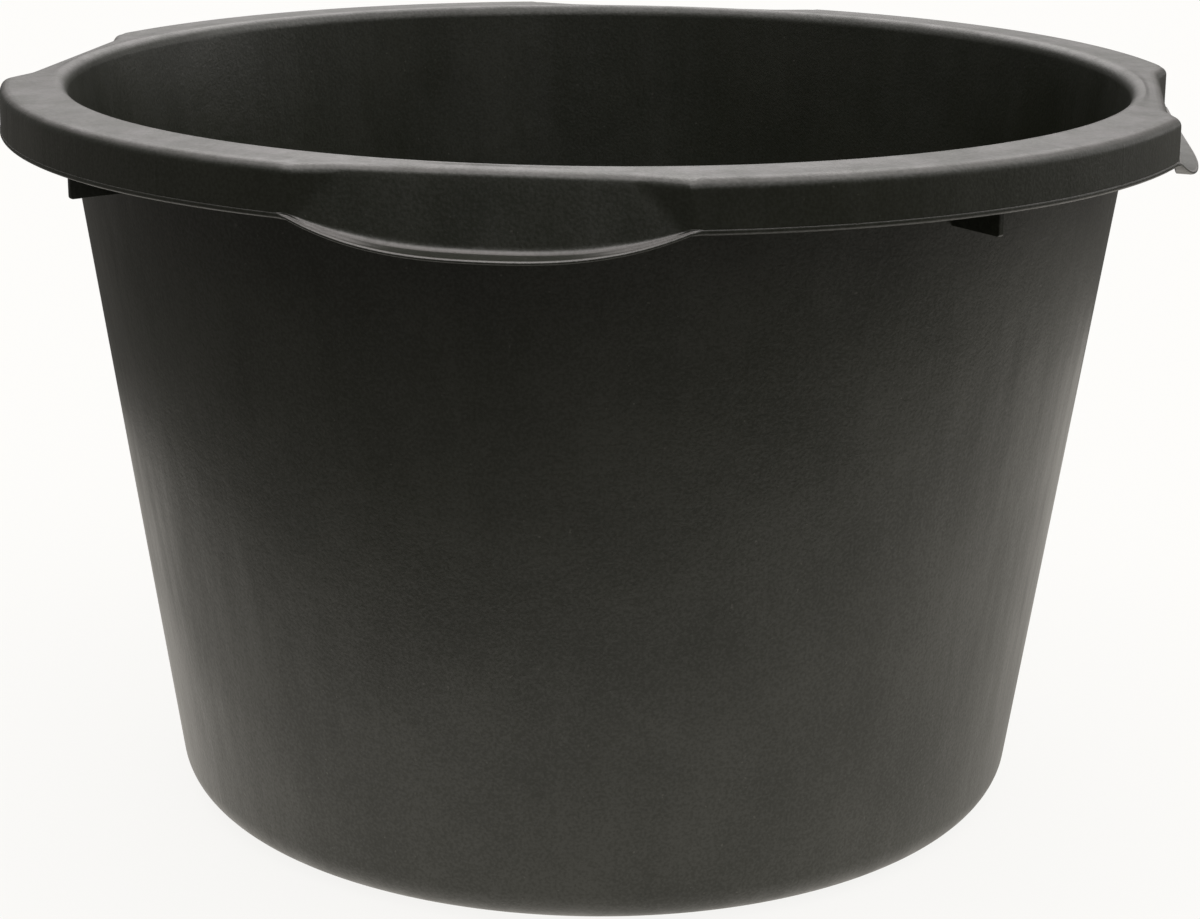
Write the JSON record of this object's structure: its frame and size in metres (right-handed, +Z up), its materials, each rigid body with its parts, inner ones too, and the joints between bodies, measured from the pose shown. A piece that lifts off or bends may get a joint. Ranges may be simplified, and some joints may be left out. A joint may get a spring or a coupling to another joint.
{
  "type": "mortar mixing tub",
  "caption": "Round conical plastic tub for mixing and carrying mortar, with a wide turned-down rim, flat flared hand grips with lips, and stacking ribs under the rim.",
  "frame": {"origin": "centre of the base, on the ground", "axes": "+Z up along the tub's axis; the front grip faces -Y and the right grip +X"},
  "size_m": [0.664, 0.664, 0.411],
  "materials": {
    "black_plastic": "satin, moulded, near black"
  },
  "bodies": {
    "root": {"floor_panel": "black_plastic", "foot_ring": "black_plastic", "base_curve": "black_plastic", "tub_wall": "black_plastic", "mouth_edge": "black_plastic", "rim_top_front_right": "black_plastic", "rim_top_back_right": "black_plastic", "rim_top_back_left": "black_plastic", "rim_top_front_left": "black_plastic", "rim_skirt_front_right": "black_plastic", "rim_skirt_back_right": "black_plastic", "rim_skirt_back_left": "black_plastic", "rim_skirt_front_left": "black_plastic", "stacking_rib_front_right": "black_plastic", "stacking_rib_back_right": "black_plastic", "stacking_rib_back_left": "black_plastic", "stacking_rib_front_left": "black_plastic", "grip_top_front": "black_plastic", "grip_top_right": "black_plastic", "grip_top_back": "black_plastic", "grip_top_left": "black_plastic", "grip_skirt_front": "black_plastic", "grip_skirt_right": "black_plastic", "grip_skirt_back": "black_plastic", "grip_skirt_left": "black_plastic", "grip_lip_front": "black_plastic", "grip_lip_right": "black_plastic", "grip_lip_back": "black_plastic", "grip_lip_left": "black_plastic"}
  },
  "joints": []
}
